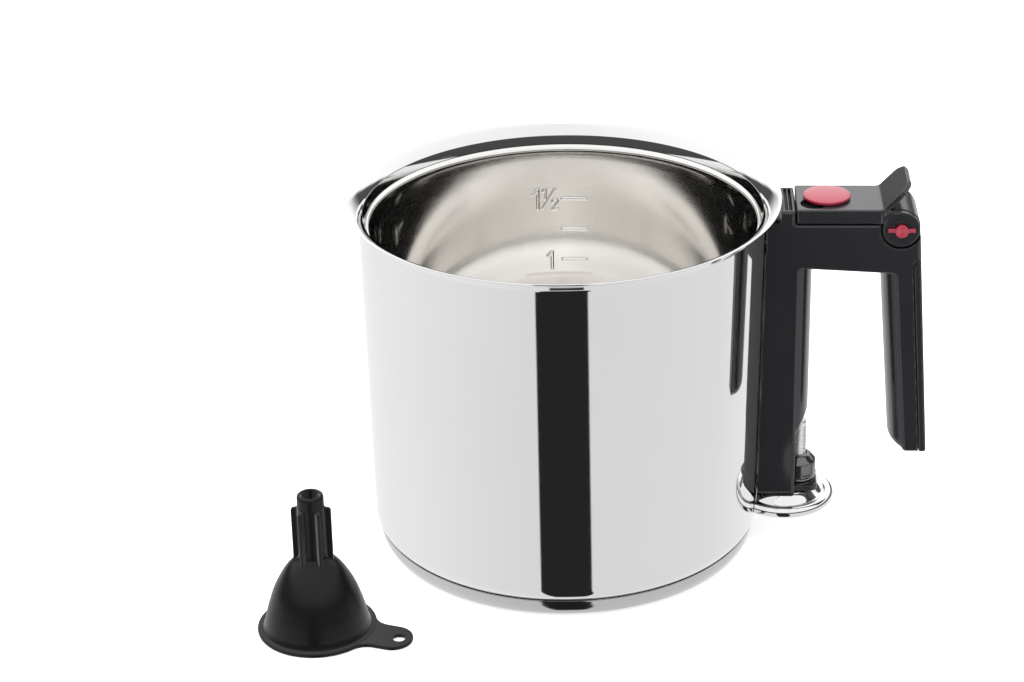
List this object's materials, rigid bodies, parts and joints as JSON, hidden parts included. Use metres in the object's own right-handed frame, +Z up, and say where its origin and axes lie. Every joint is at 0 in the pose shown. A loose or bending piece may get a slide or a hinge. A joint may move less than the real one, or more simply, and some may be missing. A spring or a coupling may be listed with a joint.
{
  "type": "candle melting pot",
  "caption": "Double-walled steel melting pot with a bridge handle, sprung filler lever and valve button, a clamping thumb nut on a dish bracket, and a loose filling funnel.",
  "frame": {"origin": "centre of the pot's flat base, on the surface it stands on", "axes": "+Z up the pot's axis, +X out along the handle, +Y to the handle's far side from the hinge pin's head"},
  "size_m": [0.2663, 0.1966, 0.1578],
  "materials": {
    "outer_shell": "mirror polished stainless steel",
    "inner_vessel": "satin stainless steel",
    "base_core": "plain aluminium",
    "base_cap": "satin stainless steel",
    "filler_neck": "turned steel",
    "neck_gasket": "matt silicone",
    "hook_bracket": "pressed steel",
    "dish_bracket": "mirror polished",
    "stud": "bright plated",
    "handle_body": "satin black heat-resistant plastic",
    "grip_cover": "satin black plastic",
    "well_seat": "matt silicone",
    "stud_washer": "plain steel",
    "thumb_nut": "glossy black plastic",
    "nut_insert": "machined brass",
    "filler_lever": "satin black plastic",
    "pivot_pin": "red plastic",
    "pin_clip": "spring steel",
    "lever_spring": "spring wire",
    "valve_button": "red plastic, satin dome",
    "valve_spring": "spring wire",
    "valve_seal": "matt silicone",
    "valve_retainer": "spring steel",
    "funnel": "satin black plastic"
  },
  "bodies": {
    "pot": {"outer_shell": "outer_shell", "inner_vessel": "inner_vessel", "base_core": "base_core", "base_cap": "base_cap", "filler_neck": "filler_neck", "neck_gasket": "neck_gasket", "hook_bracket": "hook_bracket", "dish_bracket": "dish_bracket", "stud": "stud", "handle_body": "handle_body", "grip_cover": "grip_cover", "well_seat": "well_seat", "lever_spring": "lever_spring"},
    "lever": {"filler_lever": "filler_lever", "valve_spring": "valve_spring"},
    "pin": {"pivot_pin": "pivot_pin", "pin_clip": "pin_clip"},
    "valve": {"valve_button": "valve_button", "valve_seal": "valve_seal", "valve_retainer": "valve_retainer"},
    "washer": {"stud_washer": "stud_washer"},
    "nut": {"thumb_nut": "thumb_nut", "nut_insert": "nut_insert"},
    "funnel": {"funnel": "funnel"}
  },
  "joints": [
    {"name": "lever_hinge", "type": "hinge", "parent": "pot", "child": "lever", "pos_m": [0.1335, 0, 0.1394], "axis": [0, 1, 0], "range_deg": [0, 70], "stiffness_Nm_per_rad": 0.03, "springref_deg": -20.05},
    {"name": "pin_turn", "type": "hinge", "parent": "lever", "child": "pin", "pos_m": [0.1335, 0, 0.1394], "axis": [0, 1, 0], "range_deg": [0, 90]},
    {"name": "button_lift", "type": "slide", "parent": "lever", "child": "valve", "axis": [0, 0, 1], "range_m": [0, 0.0016], "stiffness_N_per_m": 400, "springref_m": -0.002, "deforming": ["valve_spring"]},
    {"name": "nut_travel", "type": "slide", "parent": "pot", "child": "washer", "axis": [0, 0, 1], "range_m": [0, 0.0031]},
    {"name": "thumb_nut_turn", "type": "hinge", "parent": "washer", "child": "nut", "pos_m": [0.0965, 0, 0.03], "axis": [0, 0, 1], "range_deg": [0, 1080]},
    {"name": "funnel_lift", "type": "slide", "parent": "pot", "child": "funnel", "axis": [0, 0, 1], "range_m": [0, 0.1]}
  ],
  "couplings": [
    {"joint": "nut_travel", "follows": "thumb_nut_turn", "m_per_rad": 0.00015915}
  ]
}
